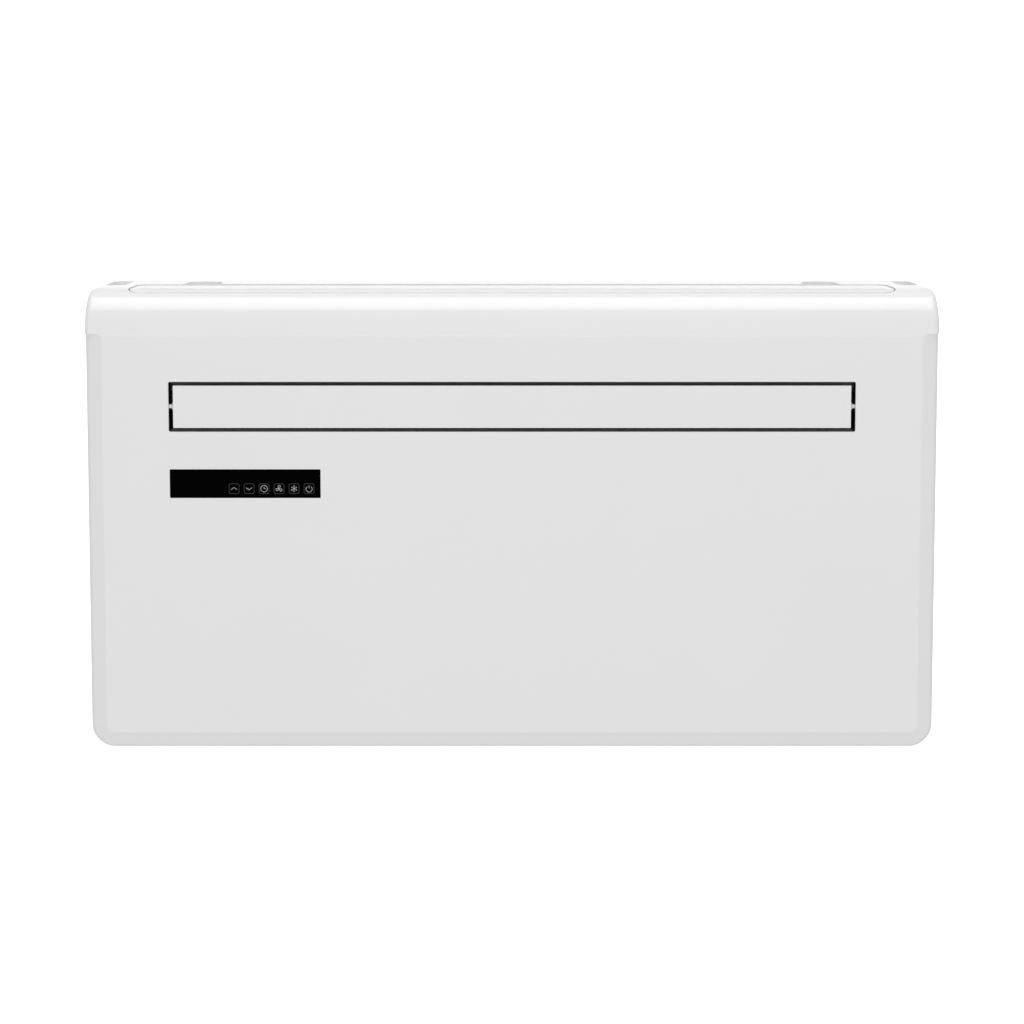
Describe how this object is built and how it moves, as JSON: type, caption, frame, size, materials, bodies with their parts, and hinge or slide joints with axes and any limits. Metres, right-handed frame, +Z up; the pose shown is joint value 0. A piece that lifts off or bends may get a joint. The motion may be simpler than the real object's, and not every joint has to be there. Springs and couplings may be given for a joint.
{
  "type": "wall-hung air conditioner",
  "caption": "Slim one-piece air conditioner that hangs on a wall and breathes through two wall ducts: rolled hood, tilting outlet flap, touch panel and lift-out filters.",
  "frame": {"origin": "on the wall plane, in the middle of the wall bracket's four bolt holes", "axes": "+X to the right seen from the front, +Y into the wall, +Z up; the front faces -Y"},
  "size_m": [1.03, 0.205, 0.5615],
  "materials": {
    "white_abs": "smooth satin-gloss moulded ABS",
    "black_abs": "fine matt moulded",
    "grey_abs": "matt moulded",
    "black_glass": "black back-printed glass, polished",
    "galvanised": "galvanised sheet with a soft spangle",
    "black_steel": "baked black enamel",
    "copper": "drawn copper tube",
    "fin_aluminium": "thin pressed fins",
    "zinc_steel": "zinc-plated",
    "rubber": "moulded rubber",
    "foam": "closed-cell foam",
    "circuit_board": "green solder resist",
    "filter_mesh": "fine woven nylon net"
  },
  "bodies": {
    "chassis": {"accumulator": "black_steel", "back_plate": "galvanised", "base_pan": "galvanised", "blower_bracket": "galvanised", "blower_motor": "zinc_steel", "blower_volute": "black_abs", "bulkhead": "galvanised", "cable_gland": "black_abs", "compressor": "black_steel", "compressor_bolts": "zinc_steel", "compressor_grommets": "rubber", "compressor_inlet": "copper", "condenser_fins": "fin_aluminium", "condenser_tubes": "copper", "control_board": "circuit_board", "control_box": "grey_abs", "control_box_lid": "grey_abs", "discharge_pipe": "copper", "drain_spigot": "black_abs", "drip_tray": "grey_abs", "duct_collar_in": "white_abs", "duct_collar_out": "white_abs", "duct_gaskets": "foam", "evaporator_end_plates": "galvanised", "evaporator_fins": "fin_aluminium", "evaporator_tubes": "copper", "exhaust_plenum": "galvanised", "fan_bearing": "rubber", "fan_cheek_left": "grey_abs", "fan_cheek_right": "grey_abs", "fan_motor": "zinc_steel", "fan_scroll": "grey_abs", "filter_dryer": "copper", "filter_guides": "grey_abs", "finger_guard": "black_abs", "intake_plenum": "black_abs", "liquid_pipe": "copper", "run_capacitor": "zinc_steel", "side_plate_left": "galvanised", "side_plate_right": "galvanised", "suction_pipe": "copper", "terminal_block": "white_abs", "wall_bracket": "galvanised"},
    "cover": {"front_cover": "white_abs", "intake_grille": "white_abs", "outlet_frame": "black_abs", "flap_bush_left": "black_abs", "flap_bush_right": "black_abs", "flap_motor": "zinc_steel", "control_glass": "black_glass", "display_board": "circuit_board"},
    "flap": {"outlet_flap": "white_abs"},
    "filter_left": {"filter_frame_left": "grey_abs", "filter_net_left": "filter_mesh"},
    "filter_right": {"filter_frame_right": "grey_abs", "filter_net_right": "filter_mesh"},
    "fan_rotor": {"crossflow_fan": "black_abs", "fan_shafts": "zinc_steel"},
    "blower_rotor": {"blower_wheel": "black_abs", "blower_shaft": "zinc_steel"}
  },
  "joints": [
    {"name": "cover_lift", "type": "slide", "parent": "chassis", "child": "cover", "axis": [0, 0, 1], "range_m": [0, 0.58]},
    {"name": "flap_tilt", "type": "hinge", "parent": "cover", "child": "flap", "pos_m": [0, -0.198, -0.0603], "axis": [1, 0, 0], "range_deg": [0, 110]},
    {"name": "filter_left_lift", "type": "slide", "parent": "chassis", "child": "filter_left", "axis": [0, 0, 1], "range_m": [0, 0.1]},
    {"name": "filter_right_lift", "type": "slide", "parent": "chassis", "child": "filter_right", "axis": [0, 0, 1], "range_m": [0, 0.1]},
    {"name": "fan_spin", "type": "hinge", "parent": "chassis", "child": "fan_rotor", "pos_m": [0, -0.092, -0.123], "axis": [1, 0, 0], "continuous": true},
    {"name": "blower_spin", "type": "hinge", "parent": "chassis", "child": "blower_rotor", "pos_m": [0.1465, -0.08, -0.325], "axis": [0, 1, 0], "continuous": true}
  ]
}
